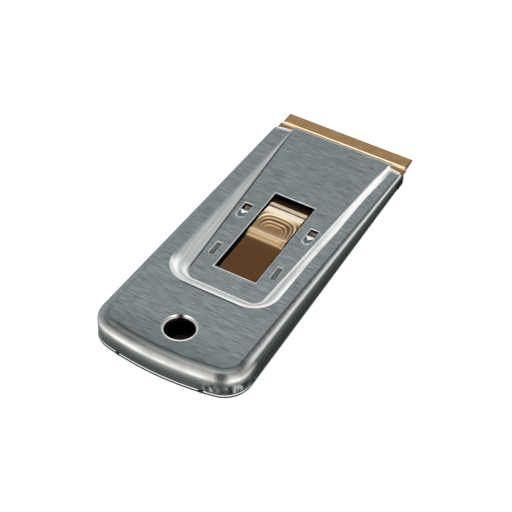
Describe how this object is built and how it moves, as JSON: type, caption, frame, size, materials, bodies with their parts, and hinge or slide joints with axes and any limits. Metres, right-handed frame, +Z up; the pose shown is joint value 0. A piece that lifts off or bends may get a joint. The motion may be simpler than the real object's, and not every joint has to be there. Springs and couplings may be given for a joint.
{
  "type": "razor blade scraper",
  "caption": "Flat pocket scraper of stamped steel that holds a single-edge razor blade on a sliding carriage worked by the thumb, with a hole to hang it by.",
  "frame": {"origin": "centre of the bounding box at its lowest level, on the underside of the bottom plate", "axes": "+Y out of the mouth, the way the blade comes out, +Z up through the cover, +X across the blade"},
  "size_m": [0.0422, 0.1002, 0.0074],
  "materials": {
    "brushed_steel": "brushed across the case, polished on the rolled edges",
    "plain_steel": "satin",
    "weld": "heat tinted brown",
    "brass_plate": "thin brass plating, satin",
    "spring_brass": "pressed and polished",
    "rivet_brass": "satin",
    "blade_steel": "ground",
    "spine_brass": "satin, fine lengthways grain"
  },
  "bodies": {
    "case": {"top_cover": "brushed_steel", "bottom_plate": "plain_steel", "weld_spots": "weld"},
    "carriage": {"blade_carriage": "brass_plate", "spring_rivets": "rivet_brass"},
    "thumb_rest": {"thumb_spring": "spring_brass"},
    "blade": {"razor_blade": "blade_steel", "blade_spine": "spine_brass"}
  },
  "joints": [
    {"name": "carriage_slide", "type": "slide", "parent": "case", "child": "carriage", "axis": [0, 1, 0], "range_m": [-0.0153, 0]},
    {"name": "thumb_press", "type": "hinge", "parent": "carriage", "child": "thumb_rest", "pos_m": [0, -0.01485, 0.00147], "axis": [1, 0, 0], "range_deg": [-1.3, 0], "stiffness_Nm_per_rad": 1, "springref_deg": 0.11},
    {"name": "blade_change", "type": "slide", "parent": "carriage", "child": "blade", "axis": [0, 1, 0], "range_m": [0, 0.02]}
  ]
}
